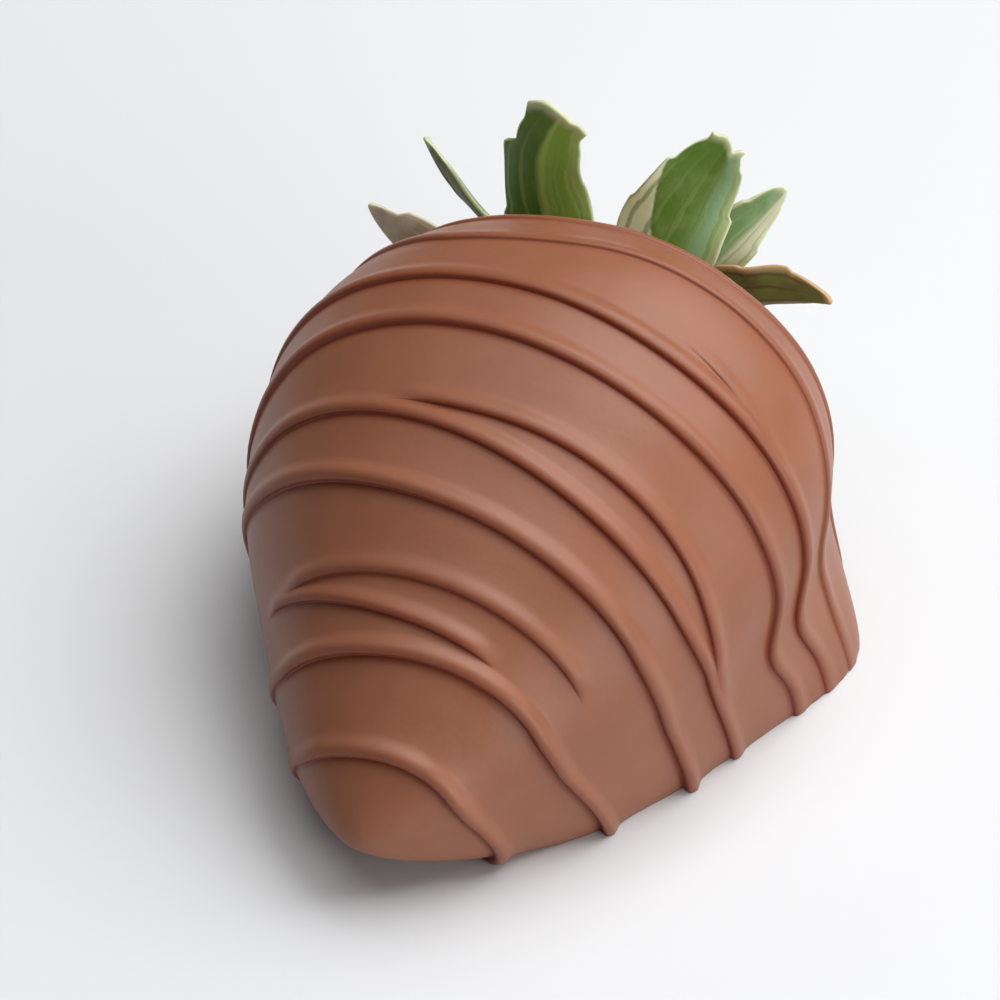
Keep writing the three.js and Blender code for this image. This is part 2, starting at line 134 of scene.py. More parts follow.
BEAD_BACK = 1.15 * MM  # how far the bead itself falls off behind its ridge
SHOULDER = 0.3  # share of its height that blends out over the whole width
UNDERCUT = 0.2  # how far the round front leans over its crease, as a share of its height
# Painted shade: the coat is painted darker and redder in the creases in front of the strands.
CREASE_SHADE_WIDTH = 0.4 * MM  # reach of the painted crease shade over the strand's front
CREASE_SHADE_TOE = 0.32 * MM  # and over the skin in front of it
CREASE_SHADE_FULL = 0.45 * MM  # a lower strand than this has fainter painted crease shade
CREASE_SHADE_TINT = 0.9  # share of the painted shade colour where the crease is deepest
REACHING = 3  # strands, one behind another, whose backs can reach the same place
SWELLINGS = ((2.0, 0.09), (5.0, 0.05))  # waves round the berry and how much a strand swells
LUMPS = ((9 * MM, 0.16 * MM), (3.4 * MM, 0.035 * MM))  # size and height of the skin's unevenness
FRONT_REACH = 1.8 * MM  # half of the rows between two creases lie this close behind the first
FRONT_SHARE = 0.45  # or within this share of the way, where that is less
FRONT_CROWDING = 1.7  # power by which they crowd towards that crease
TOE_GAP = 0.09 * MM  # the last row lies this close before the second crease
TOE_SHARE = 0.1  # or within this share of the way
FLAT_NORMAL = -0.99  # a face whose normal points down more than this
FLAT_HEIGHT = 1e-6  # and that lies this close to the plate belongs to the flat

# ---- leaves ---------------------------------------------------------------------------------
# angle: round the blunt end. lift: lean away from the berry, and curl what it gains up to the
# tip. twist: turn about its own length. sweep: sideways bend. fold: depth of the keel as a share
# of half the width. step: millimetres behind the crown's first layer. fullness: under 1, widest
# nearer the base. blunt: under 1, blunter at the far end. tip: share of its width that a cut-off
# far end keeps. keel: where across the leaf it is folded, at mid length, and how that shifts along
# it. teeth: how far the teeth on its left and right step in, as shares of the half width. lobes:
# at the far end, each with its place across the leaf, length in millimetres and reach.
Leaf = namedtuple(
    "Leaf",
    "node angle length width lift curl twist finish sweep fold step fullness blunt"
    " tip keel teeth lobes",
    defaults=(0, 0.25, 0, 0.85, 0.8, 0, (0, 0), (0.13, 0.13), ()),
)
OUTER_STEP = 1.15
LEAVES = (
    Leaf(
        "leaf_1", -70, 17.2, 7.3, 5.5, 5.5, 12, "striped", -98, 0.1, 0.5, 0.77, 0.25, 0.7,
        teeth=(0.33, 0.02), lobes=((1.1, -1.3, 0.4), (-0.4, -0.25, 0.2), (-1.05, -0.6, 0.3)),
    ),
    Leaf(
        "leaf_2", 9, 13.4, 7.8, 8, 17, 14, "variegated", -19, 0.19, 0, 0.66, 0.4, 0.4,
        keel=(0.55, 1.6), lobes=((0.3, 0.3, 0.3), (-0.4, -0.5, 0.2)),
    ),
    Leaf("leaf_3", 61, 11.8, 5.3, 16, -12.5, 31, "dry", -18, 0.6, blunt=0.56),
    Leaf("leaf_4", -94, 18.4, 2.1, 6.5, 9, -10, "dull", -53, 0.02, 1.35, blunt=0.6),
    Leaf("leaf_5", -105, 19.5, 7.4, 0.5, 0, 5, "fuzzy", -50, 0.05, blunt=0.7, teeth=(0.4, 0.4)),
    Leaf("leaf_6", 125, 12, 7, 22, 34, -12, "bright"),
    Leaf("leaf_7", -150, 13, 5, 26, 30, 2, "bright"),
    Leaf("leaf_8", 168, 11, 5.2, 32, 34, -4, "bright"),
    Leaf("leaf_9", 39, 11.2, 4.6, 22.5, 14, 12, "pale", 0, 0.25, 1.2, 0.78, 0.65),
    Leaf("outer_leaf_1", -14, 7, 4, 58, 12, 12, "bright", step=OUTER_STEP),
    Leaf("outer_leaf_2", -72, 6, 4.2, 56, 14, -18, "bright", step=OUTER_STEP),
    Leaf("outer_leaf_3", 92, 8, 3.8, 56, 16, 14, "dull", step=OUTER_STEP),
    Leaf("outer_leaf_4", -124, 10, 4, 56, 12, -10, "bright", step=OUTER_STEP),
    Leaf("outer_leaf_5", 146, 10, 3.8, 58, 14, 8, "bright", step=OUTER_STEP),
)
LEAF_ROWS = 60
LEAF_COLUMNS = 22
LEAF_START = 3.5 * MM  # from the crown's axis to where a leaf begins
LEAF_BACK = 0.5 * MM  # from the coat's end of the crown to the leaves' middle layer
LEAF_BASE = 0.035  # where on the leaf's oval outline its base is cut
LEAF_TIP_HALF_WIDTH = 0.12 * MM
LEAF_BASE_HALF_WIDTH = 0.35 * MM
LEAF_LEAD = 1 / 18  # a leaf's course bends this far ahead along it
LEAF_WAVES = 1.6  # ripples along a leaf
LEAF_SHEAR = 2.0  # radians by which the ripple differs between its two edges
LEAF_TEETH = 3.3  # teeth along each edge
TEETH_START = (0.5, 0.1)  # share of a tooth that the left and the right edge start with
VEIN_RELIEF = 0.05 * MM  # depth of the grooves over the long veins
VEINS = 5  # long veins across a leaf
VEIN_COMB = 1.04 * math.pi / 2 * VEINS  # radians of their comb from the midrib to the edge
VEIN_SHARPNESS = 6  # power that narrows the grooves
LEAF_THINNING = 3  # power by which a leaf thins towards its edges: over 1, near them

# ---- tone and grain -------------------------------------------------------------------------
MOTTLE_GAIN = 4.0  # spreads the noise, whose values keep near its middle
COARSE_SCALE = 0.22  # of the coarse grain, beside the fine grain's
FIBRES = (0.35, 0.7)  # patch values between which the stem's lighter fibres come in

# ---- markings of a leaf, in places from 0 to 1 along it and -1 to 1 across it ---------------
VEIN_WANDER = 0.16  # how far the veins' colour shifts sideways
VEIN_LINE = 0.86  # a vein shows where its comb is above this
VEIN_FADE = 0.55  # the veins' colour fades out from here to the far end
VEIN_TINT = 0.6  # share of the veins' colour where it is fullest
VEIN_BUMP = 0.8  # height of the veins beside the grain's
EDGE_WANDER = 0.12  # how far the pale edge shifts
TIP_START = 0.93  # the pale far end starts here
TIP_WANDER = 0.4  # and shifts by this share of what the edge does
BAND_WANDER = 0.3  # how far the colour bands shift
CLOUDS = (0.35, 0.75)  # patch values between which a leaf's lighter colour comes in
BASE_REACH = 0.22  # how far the base's pale colour reaches
BASE_TINT = 0.6  # and its share at the very base

# ---- calyx and stem -------------------------------------------------------------------------
DISC_RADIUS = 3.2 * MM
DISC_THICKNESS = 2.1 * MM
DISC_DOME = 0.8  # power of the disc's rise: under 1, fuller towards its rim
DISC_RIBS = 13
RIB_DEPTH = 0.05  # as a share of the disc's size
STEM_RADIUS = 1.0 * MM
STEM_END_RADIUS = 0.85 * MM
STEM_LENGTH = 4.5 * MM
STEM_LEAN = math.radians(12)
STEM_BEVEL = 0.12 * MM

# ---- stage ----------------------------------------------------------------------------------
FLOOR_SIZE = 4.0
FLOOR_DROP = 0.02 * MM  # how far the floor lies below the coat's flat
TARGET_HEIGHT = 17 * MM  # height at which the camera and the lights aim
LIGHT_DISTANCE = 0.6
LIGHTS = (  # name, azimuth and elevation in degrees, size, power in watts
    ("key", 145, 54, 0.6, 4),
    ("side", 74, 8, 0.5, 2.8),
    ("top", 160, 84, 0.7, 2.6),
)
WORLD_STRENGTH = 0.04
CAMERA_LENS = 180
CAMERA_NEAR = 0.01

disc_low, disc_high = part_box("calyx_disc")
CROWN = Vector(((disc_low.x + disc_high.x) / 2, disc_low.y, (disc_low.z + disc_high.z) / 2))
MIDDLE = CROWN - Vector((0, COAT_LENGTH / 2 + CLEARANCE, CAP_CENTRE_Z))


# ---- settings -------------------------------------------------------------------------------
class CoatSettings(bpy.types.PropertyGroup):
    """Sizes and colours of the chocolate coat."""

    right_half_width: FloatProperty(
        name="Right Half Width", description="From the axis to the flank on +X at the bulge",
        default=20 * MM, min=5 * MM, unit="LENGTH",
    )
    left_half_width: FloatProperty(
        name="Left Half Width", description="From the axis to the flank on -X at the bulge",
        default=21.6 * MM, min=5 * MM, unit="LENGTH",
    )
    upper_height: FloatProperty(
        name="Upper Height", description="From the section centre up to the crest",
        default=16.7 * MM, min=5 * MM, unit="LENGTH",
    )
    lower_height: FloatProperty(
        name="Lower Height", description="From the section centre down, before the flat is cut",
        default=17.5 * MM, min=5 * MM, unit="LENGTH",
    )
    foot_height: FloatProperty(
        name="Foot Height", description="The pooled chocolate spreads below this height",
        default=11 * MM, min=1 * MM, unit="LENGTH",
    )
    foot_spread: FloatProperty(
        name="Foot Spread", description="Widest spread of the pooled chocolate",
        default=5.6 * MM, min=0, unit="LENGTH",
    )
    columns: IntProperty(
        name="Columns", description="Points round the berry", default=330, min=48, max=420
    )
    band_rows: IntProperty(
        name="Rows per Band", description="Rows of points from one strand to the next",
        default=20, min=8, max=30,
    )
    milk: FloatVectorProperty(
        name="Milk Chocolate", description="Colour of the coat",
        subtype="COLOR", size=3, min=0, max=1, default=srgb(142, 90, 66),
    )
    # Painted shade: the darker, redder colour mixed in where the creases in front of the strands
    # fall in shade.
    crease_shade: FloatVectorProperty(
        name="Crease", description="Colour in the creases in front of the strands",
        subtype="COLOR", size=3, min=0, max=1, default=srgb(126, 53, 28),
    )
    roughness: FloatProperty(
        name="Roughness", description="Satin finish of the chocolate",
        default=0.4, min=0, max=1, subtype="FACTOR",
    )


class CrownSettings(bpy.types.PropertyGroup):
    """Sizes and colours of the leaves, the calyx disc and the stem."""

    leaf_thickness: FloatProperty(
        name="Leaf Thickness", description="Thickness along a leaf's middle",
        default=0.44 * MM, min=0.1 * MM, unit="LENGTH",
    )
    edge_share: FloatProperty(
        name="Edge Thickness", description="Thickness at a leaf's edge, as a share of the middle's",
        default=0.6, min=0.1, max=1, subtype="FACTOR",
    )
    ripple: FloatProperty(
        name="Ripple", description="Height of the ripple along a leaf's edges",
        default=0.45 * MM, min=0, unit="LENGTH",
    )
    green: FloatVectorProperty(
        name="Leaf Green", description="Main colour of the leaves",
        subtype="COLOR", size=3, min=0, max=1, default=srgb(84, 126, 36),
    )
    pale: FloatVectorProperty(
        name="Leaf Edge", description="Colour of the leaves' pale edges",
        subtype="COLOR", size=3, min=0, max=1, default=srgb(196, 200, 160),
    )
    dry: FloatVectorProperty(
        name="Dry Leaf", description="Main colour of the dried leaf",
        subtype="COLOR", size=3, min=0, max=1, default=srgb(104, 106, 50),
    )


class StageSettings(bpy.types.PropertyGroup):
    """The floor, the lights and the camera."""

    floor: FloatVectorProperty(
        name="Floor", description="Colour of the floor",
        subtype="COLOR", size=3, min=0, max=1, default=srgb(214, 215, 217),
    )
    azimuth: FloatProperty(
        name="Camera Azimuth", description="Turn of the camera from the tip towards +X",
        default=math.radians(24.35), subtype="ANGLE",
    )
    elevation: FloatProperty(
        name="Camera Elevation", description="Height of the camera above the horizon",
        default=math.radians(43.73), subtype="ANGLE",
    )
    distance: FloatProperty(
        name="Camera Distance", description="From the camera to the middle of the berry",
        default=0.345, min=0.1, unit="LENGTH",
    )


# ---- nodes shared by the materials ----------------------------------------------------------
def feed(tree, socket, value):
    """Links a socket into this one, or sets this one to a number or a colour."""
    if isinstance(value, bpy.types.NodeSocket):
        tree.links.new(value, socket)
    elif socket.type == "RGBA":
        socket.default_value = (*value, 1)
    else:
        socket.default_value = value


def add_node(tree, kind, **values):
    """A new node. A value named after an input feeds it, and any other is a setting."""
    node = tree.nodes.new(kind)
    for key, value in values.items():
        socket = node.inputs.get(key.replace("_", " "))
        if socket is None:
            setattr(node, key, value)
        else:
            feed(tree, socket, value)
    return node


def math_node(tree, operation, *values, clamp=False):
    """Output of a Math node fed with sockets or numbers."""
    node = add_node(tree, "ShaderNodeMath", operation=operation, use_clamp=clamp)
    for socket, value in zip(node.inputs, values):
        feed(tree, socket, value)
    return node.outputs[0]


def smooth_step(tree, value, low, high):
    """Output that goes smoothly from 0 to 1 as value goes from low to high."""
    node = add_node(
        tree, "ShaderNodeMapRange", interpolation_type="SMOOTHSTEP",
        Value=value, From_Min=low, From_Max=high,
    )
    return node.outputs["Result"]


def mix_colour(tree, factor, first, second, blend="MIX"):
    """Output colour between two colours or sockets."""
    node = add_node(tree, "ShaderNodeMix", data_type="RGBA", blend_type=blend)
    for index, value in ((0, factor), (6, first), (7, second)):  # its factor and its two colours
        feed(tree, node.inputs[index], value)
    return node.outputs[2]


def new_group(name, inputs, outputs):
    """An empty node group with its inner sockets. An input with no default is a vector."""
    tree = bpy.data.node_groups.new(name, "ShaderNodeTree")
    for label, default in inputs.items():
        if default is None:
            tree.interface.new_socket(name=label, in_out="INPUT", socket_type="NodeSocketVector")
        else:
            socket = tree.interface.new_socket(
                name=label, in_out="INPUT", socket_type="NodeSocketFloat"
            )
            socket.default_value = default
    for label in outputs:
        tree.interface.new_socket(name=label, in_out="OUTPUT", socket_type="NodeSocketFloat")
    return tree, tree.nodes.new("NodeGroupInput").outputs, tree.nodes.new("NodeGroupOutput").inputs


def mottle_group(name):
    """Group: uneven tone. Value wanders round 1 by Amount, over patches of 1 / Scale metres."""
    tree, given, result = new_group(
        name, {"Vector": None, "Scale": 200.0, "Amount": 0.1}, ("Value", "Patches")
    )
    cloud = add_node(
        tree, "ShaderNodeTexNoise", Detail=3.0, Roughness=0.55,
        Vector=given["Vector"], Scale=given["Scale"],
    )
    patches = cloud.outputs["Fac"]
    swing = math_node(tree, "MULTIPLY", math_node(tree, "SUBTRACT", patches, 0.5), given["Amount"])
    feed(tree, result["Value"], math_node(tree, "MULTIPLY_ADD", swing, MOTTLE_GAIN, 1.0))
    feed(tree, result["Patches"], patches)
    return tree


def grain_group(name):
    """Group: fine surface grain as a height, from two sizes of noise."""
    tree, given, result = new_group(
        name, {"Vector": None, "Scale": 3000.0, "Coarse Share": 0.5}, ("Height",)
    )
    fine = add_node(
        tree, "ShaderNodeTexNoise", Detail=2.0, Vector=given["Vector"], Scale=given["Scale"]
    )
    wide = math_node(tree, "MULTIPLY", given["Scale"], COARSE_SCALE)
    coarse = add_node(tree, "ShaderNodeTexNoise", Detail=2.0, Vector=given["Vector"], Scale=wide)
    added = math_node(tree, "MULTIPLY", coarse.outputs["Fac"], given["Coarse Share"])
    feed(tree, result["Height"], math_node(tree, "ADD", fine.outputs["Fac"], added))
    return tree


def blade_group(name):
    """Group: masks on a leaf from its UV map, U across it and V along it."""
    tree, given, result = new_group(
        name, {"UV": None, "Ragged": 0.0, "Edge Width": 0.1}, ("Vein", "Edge", "Across", "Along")
    )
    split = add_node(tree, "ShaderNodeSeparateXYZ", Vector=given["UV"])
    along = split.outputs["Y"]
    across = math_node(tree, "MULTIPLY_ADD", split.outputs["X"], 2.0, -1.0)
    shaken = math_node(tree, "MULTIPLY_ADD", given["Ragged"], VEIN_WANDER, across)
    comb = math_node(tree, "COSINE", math_node(tree, "MULTIPLY", shaken, VEIN_COMB))
    lines = smooth_step(tree, math_node(tree, "ABSOLUTE", comb), VEIN_LINE, 1.0)
    fading = smooth_step(tree, along, 1.0, VEIN_FADE)
    ragged = math_node(tree, "MULTIPLY", given["Ragged"], EDGE_WANDER)
    side = math_node(tree, "ADD", math_node(tree, "ABSOLUTE", across), ragged)
    start = math_node(tree, "SUBTRACT", 1.0, given["Edge Width"])
    far = math_node(tree, "MULTIPLY_ADD", ragged, TIP_WANDER, along)
    edges = smooth_step(tree, side, start, 1.0), smooth_step(tree, far, TIP_START, 1.0)
    feed(tree, result["Vein"], math_node(tree, "MULTIPLY", lines, fading))
    feed(tree, result["Edge"], math_node(tree, "MAXIMUM", *edges))
    feed(tree, result["Across"], across)
    feed(tree, result["Along"], along)
    return tree


GROUPS = {"Mottle": mottle_group, "Fine Grain": grain_group, "Leaf Blade": blade_group}


def use_group(tree, name, **values):
    """A node that holds the named group, which is built when it is first asked for."""
    group = bpy.data.node_groups.get(name) or GROUPS[name](name)
    return add_node(tree, "ShaderNodeGroup", node_tree=group, **values)


def new_material(name, **values):
    """A material with one Principled shader, whose named inputs get these even values."""
    material = bpy.data.materials.new(name)
    material.use_nodes = True
    tree = material.node_tree
    shader = tree.nodes["Principled BSDF"]
    for key, value in values.items():
        shader.inputs[key.replace("_", " ")].default_value = value
    return material, tree, shader


def set_bump(tree, shader, height, distance, strength):
    """Feeds a height socket to the shader's normal."""
    bump = add_node(tree, "ShaderNodeBump", Strength=strength, Distance=distance, Height=height)
    feed(tree, shader.inputs["Normal"], bump.outputs["Normal"])


# ---- materials ------------------------------------------------------------------------------
def milk_chocolate():
    """Satin milk chocolate, with painted shade that makes it darker and redder in the creases
    before the drizzle strands.
    """
    coat = bpy.context.scene.strawberry_coat
    material, tree, shader = new_material(
        "milk_chocolate", Specular_IOR_Level=0.32, Subsurface_Weight=0.06,
        Subsurface_Scale=0.8 * MM,
    )
    place = tree.nodes.new("ShaderNodeTexCoord").outputs["Object"]
    broad = use_group(tree, "Mottle", Vector=place, Scale=110.0, Amount=0.06)
    small = use_group(tree, "Mottle", Vector=place, Scale=620.0, Amount=0.03)
    tone = math_node(tree, "MULTIPLY", broad.outputs["Value"], small.outputs["Value"])
    grey = add_node(tree, "ShaderNodeCombineColor", Red=tone, Green=tone, Blue=tone)
    milk = mix_colour(tree, 1.0, tuple(coat.milk), grey.outputs[0], "MULTIPLY")
    # painted shade in the creases, mixed in by the coat's crease attribute
    crease_shade = add_node(tree, "ShaderNodeAttribute", attribute_name="crease_shade")
    share = math_node(tree, "MULTIPLY", crease_shade.outputs["Fac"], CREASE_SHADE_TINT, clamp=True)
    colour = mix_colour(tree, share, milk, tuple(coat.crease_shade))
    feed(tree, shader.inputs["Base Color"], colour)
    rough = math_node(tree, "MULTIPLY", small.outputs["Value"], coat.roughness)
    feed(tree, shader.inputs["Roughness"], rough)
    grain = use_group(tree, "Fine Grain", Vector=place, Scale=2600.0, Coarse_Share=1.6)
    set_bump(tree, shader, grain.outputs["Height"], distance=0.02 * MM, strength=0.5)
    return material


def leaf_side(name, main, light, edge, bands=(), vein=None, edge_width=0.1, **values):
    """One face of a leaf: veined, mottled, with a pale ragged edge and bands along its length.

    A band starts where the place across the leaf passes its first number and is full at its second,
    and its fourth says how both shift along the leaf.
    """
    material, tree, shader = new_material(name, Subsurface_Scale=0.6 * MM, **values)
    coordinates = tree.nodes.new("ShaderNodeTexCoord").outputs
    place = coordinates["Object"]
    patches = use_group(tree, "Mottle", Vector=place, Scale=420.0).outputs["Patches"]
    centred = math_node(tree, "SUBTRACT", patches, 0.5)
    blade = use_group(
        tree, "Leaf Blade", UV=coordinates["UV"], Ragged=centred, Edge_Width=edge_width
    ).outputs
    colour = mix_colour(tree, smooth_step(tree, patches, *CLOUDS), main, light)
    side = math_node(tree, "MULTIPLY_ADD", centred, BAND_WANDER, blade["Across"])
    for start, full, band_colour, slant in bands:
        shifted = math_node(tree, "MULTIPLY_ADD", blade["Along"], -slant, side)
        colour = mix_colour(tree, smooth_step(tree, shifted, start, full), colour, band_colour)
    share = math_node(tree, "MULTIPLY", blade["Vein"], VEIN_TINT)
    colour = mix_colour(tree, share, colour, vein or light)
    near = smooth_step(tree, blade["Along"], BASE_REACH, 0.0)
    colour = mix_colour(tree, math_node(tree, "MULTIPLY", near, BASE_TINT), colour, edge)
    colour = mix_colour(tree, blade["Edge"], colour, edge)
    feed(tree, shader.inputs["Base Color"], colour)
    grain = use_group(tree, "Fine Grain", Vector=place, Scale=2200.0, Coarse_Share=1.2)
    height = math_node(tree, "MULTIPLY_ADD", blade["Vein"], VEIN_BUMP, grain.outputs["Height"])
    set_bump(tree, shader, height, distance=0.06 * MM, strength=0.6)
    return material


def leaf_finishes():
    """For each leaf finish, its materials: the side away from the berry, the near side, the rim."""
    crown = bpy.context.scene.strawberry_crown
    green, pale, dry = tuple(crown.green), tuple(crown.pale), tuple(crown.dry)
    light = srgb(132, 162, 82)
    back = srgb(132, 152, 98)
    soft = {"Roughness": 0.5, "Subsurface_Weight": 0.3, "Subsurface_Radius": (0.7, 1.0, 0.3)}
    bright = [
        leaf_side("sepal_back", back, srgb(156, 172, 122), pale, Roughness=0.62),
        leaf_side("sepal_green", green, light, pale, edge_width=0.12, **soft),
        leaf_side("sepal_rim", pale, srgb(214, 216, 184), pale, Roughness=0.55),
    ]
    striped = leaf_side(
        "sepal_striped", srgb(74, 120, 14), srgb(98, 142, 30), pale,
        (
            # lighter bands along the leaf: painted light and shade of its pleats
            (0.04, -0.1, srgb(158, 190, 96), 0),
            (-0.12, -0.2, srgb(134, 174, 70), 0),
            (-0.6, -0.72, srgb(160, 188, 104), 0),
        ),
        srgb(138, 172, 84), edge_width=0.08, **soft,
    )
    variegated = leaf_side(
        "sepal_variegated", srgb(92, 132, 44), srgb(122, 154, 80), srgb(206, 206, 172),
        (
            # painted reflection: a teal band that stands in for the blade's bluish sheen
            (-0.2, -0.62, srgb(136, 172, 124), 0),
            (-0.62, -0.85, srgb(164, 184, 128), 0),
            # the pale flank beyond the fold: its paler underside, made lighter still as painted
            # light
            (-0.27, -0.2, srgb(240, 255, 214), 1.6),
        ),
        edge_width=0.08, **soft,
    )
    half_pale = leaf_side(
        "sepal_pale", srgb(118, 152, 96), srgb(150, 176, 130), srgb(214, 212, 178),
        ((-0.05, -0.3, srgb(208, 210, 176), 0),), edge_width=0.22, **soft,
    )
    dull = [
        leaf_side("sepal_dull_back", srgb(126, 138, 108), back, pale, Roughness=0.66),
        leaf_side("sepal_dull", srgb(96, 104, 76), srgb(146, 148, 120), pale, **soft),
        bright[2],
    ]
    fuzzy = leaf_side(
        "sepal_fuzzy", srgb(166, 150, 118), srgb(206, 194, 166), srgb(214, 202, 176),
        edge_width=0.3, Roughness=0.9, Sheen_Weight=0.5,
    )
    tan = srgb(190, 156, 112)
    dried = [
        leaf_side("dry_sepal_back", srgb(134, 118, 76), tan, tan, Roughness=0.75),
        leaf_side("dry_sepal", dry, srgb(78, 66, 34), tan, edge_width=0.26, Roughness=0.7),
        leaf_side("dry_sepal_rim", tan, srgb(198, 172, 128), tan, Roughness=0.7),
    ]
    return {
        "bright": bright,
        "striped": [bright[0], striped, bright[2]],
        "variegated": [bright[0], variegated, bright[2]],
        "pale": [bright[0], half_pale, bright[2]],
        "dull": dull,
        "fuzzy": [dull[0], fuzzy, bright[2]],
        "dry": dried,
    }


def stalk_material(name, main, light, scale):
    """Fibrous green of the calyx disc and the stem."""
    material, tree, shader = new_material(name, Roughness=0.55)
    place = tree.nodes.new("ShaderNodeTexCoord").outputs["Object"]
    stretched = add_node(tree, "ShaderNodeMapping", Vector=place, Scale=scale)
    mottle = use_group(tree, "Mottle", Vector=stretched.outputs["Vector"], Scale=900.0)
    fibres = mottle.outputs["Patches"]
    colour = mix_colour(tree, smooth_step(tree, fibres, *FIBRES), main, light)
    feed(tree, shader.inputs["Base Color"], colour)
    set_bump(tree, shader, fibres, distance=0.1 * MM, strength=0.7)
    return material


# ---- the coat's shape -----------------------------------------------------------------------
def girth(station):
    """Girth at a station, as a share of the bulge's: 0 at the tip and at the blunt end."""
    bulge = TIP_ROUNDNESS / (TIP_ROUNDNESS + CAP_ROUNDNESS)
    rounded = station * (station + 2 * TIP_BLUNTNESS)
    rise = (rounded / (bulge * (bulge + 2 * TIP_BLUNTNESS))) ** (TIP_ROUNDNESS / 2)
    return rise * ((1 - station) / (1 - bulge)) ** CAP_ROUNDNESS


def hump(place, centre, reach):
    """A smooth hump: 1 at its centre, falling off over its reach to both sides."""
    return np.exp(-(((place - centre) / reach) ** 2))


def smooth(share):
    """Goes smoothly from 0 to 1 as the share does."""
    share = np.clip(share, 0, 1)
    return share * share * (3 - 2 * share)


def skin(station, angle):
    """Points of the bare skin from stations and angles, in the frame."""
    coat = bpy.context.scene.strawberry_coat
    station, angle = np.broadcast_arrays(station, angle)
    s, c = np.sin(angle), np.cos(angle)
    power = np.where(c > 0, 2.0, np.where(s > 0, SQUARENESS_RIGHT, SQUARENESS_LEFT))
    round_girth = girth(station)
    share, place, spread_out = SHOULDER_RISE
    shoulder = 1 + share * np.sin(2 * angle) * hump(station, place, spread_out)
    reach = round_girth * shoulder / (np.abs(s) ** power + np.abs(c) ** power) ** (1 / power)
    height = np.where(c > 0, coat.upper_height, coat.lower_height)
    centre = TIP_CENTRE_Z + (CAP_CENTRE_Z - TIP_CENTRE_Z) * station
    z = centre + 4 * ARCH * station * (1 - station) + height * reach * c
    low = np.clip(1 - z / coat.foot_height, 0, 1) ** 2 * np.minimum(2 * round_girth, 1)
    swell = hump(station, FOOT_STATION, FOOT_REACH)
    right = FOOT_SPREAD_LEFT + (coat.foot_spread - FOOT_SPREAD_LEFT) * swell
    onset = smooth(-c / FOOT_BLEND)
    spread = np.where(s > 0, right, -FOOT_SPREAD_LEFT) * low * onset * np.sqrt(np.abs(s))
    share, place, spread_out = HOLLOW
    left = coat.left_half_width * (1 - share * hump(station, place, spread_out))
    x = np.where(s > 0, coat.right_half_width, left) * reach * s + spread
    y = COAT_LENGTH * (station - 0.5)
    return np.stack((x, y, z), axis=-1) + np.array(MIDDLE)


def unit(vectors):
    """The vectors at length 1."""
    return vectors / np.linalg.norm(vectors, axis=-1, keepdims=True)


def skin_directions(station, angle):
    """Unit vectors out of the skin and along it towards the blunt end."""
    inside = np.clip(station, 2 * SLOPE_STEP, 1 - 2 * SLOPE_STEP)
    along = skin(inside + SLOPE_STEP, angle) - skin(inside - SLOPE_STEP, angle)
    round_it = skin(inside, angle + SLOPE_STEP) - skin(inside, angle - SLOPE_STEP)
    return unit(np.cross(round_it, along)), unit(along)


def crest_line():
    """Stations along the crest, crowded towards the blunt end, and their distance from the tip."""
    share = np.linspace(0, 1, CREST_SAMPLES + 1)
    stations = 1 - (1 - share) ** CREST_CROWDING
    points = skin(stations, np.zeros_like(stations))
    steps = np.linalg.norm(np.diff(points, axis=0), axis=1)
    return stations, np.concatenate(([0.0], np.cumsum(steps)))


def strand_course(strand, angle):
    """Where a strand's crease runs at each angle, as a station."""
    upper = np.clip(angle, -math.pi / 2, math.pi / 2)
    flank = np.where(angle > 0, strand.right, strand.left)
    drift = flank * (1 - np.cos(upper)) + strand.tilt * np.sin(upper)
    below = np.clip((np.abs(angle) - FOOT_ANGLE) / FOOT_SWING, 0, FOOT_END)
    return strand.top + drift + strand.foot * below**FOOT_POWER - strand.dip * hump(angle, *DIP)


def strand_presence(strand, angle):
    """Share of its full height that a strand has at each angle: broken ones fade at both ends."""
    if strand.start is None:
        return np.ones_like(angle)
    to_end = np.minimum(angle - math.radians(strand.start), math.radians(strand.end) - angle)
    return smooth(to_end / FADE_ANGLE)


def bead(distance, strand):
    """Height share of a strand at a distance behind its crease, and that of its round front."""
    front = BEAD_FRONT * strand.width
    rise = np.clip(distance / front, 0, 1)
    behind = np.clip(distance - front, 0, None)
    narrow = np.cos(np.clip(behind / BEAD_BACK, 0, 1) * math.pi / 2) ** 2
    wide = np.cos(np.clip(behind / strand.width, 0, 1) * math.pi / 2) ** 2
    back = (1 - SHOULDER) * narrow + SHOULDER * wide
    return np.where(distance < front, np.sqrt(1 - (1 - rise) ** 2), back), rise


def coat_rows(edges, rows_per_band):
    """Crest distances of the rows of points at each angle, and the band of each row.

    A band runs from one edge to the next. Its rows crowd behind the first edge, where the strand's
    round front is, and the last lies close before the second. The very tip is a row of its own.
    """
    near_rows = rows_per_band // 2
    near = (np.arange(near_rows) / near_rows) ** FRONT_CROWDING
    far = np.linspace(0, 1, rows_per_band - near_rows)
    rows = []
    for low, high in zip(edges, edges[1:]):
        front = low + np.minimum(FRONT_REACH, FRONT_SHARE * (high - low))
        toe = high - np.minimum(TOE_GAP, TOE_SHARE * (high - low))
        if rows:
            rows += [low + (front - low) * share for share in near]
            rows += [front + (toe - front) * share for share in far]
        else:
            rows += [toe * share for share in np.linspace(0, 1, rows_per_band)]
    bands = np.repeat(np.arange(len(edges) - 1), rows_per_band)
    return np.array(rows[1:]), bands[1:]


def lumps(points):
    """Slight unevenness of the poured chocolate at each point."""
    flat = points.reshape(-1, 3)
    total = np.zeros(len(flat))
    for size, height in LUMPS:
        total += [height * noise.noise(Vector(point / size)) for point in flat]
    return total.reshape(points.shape[:-1])


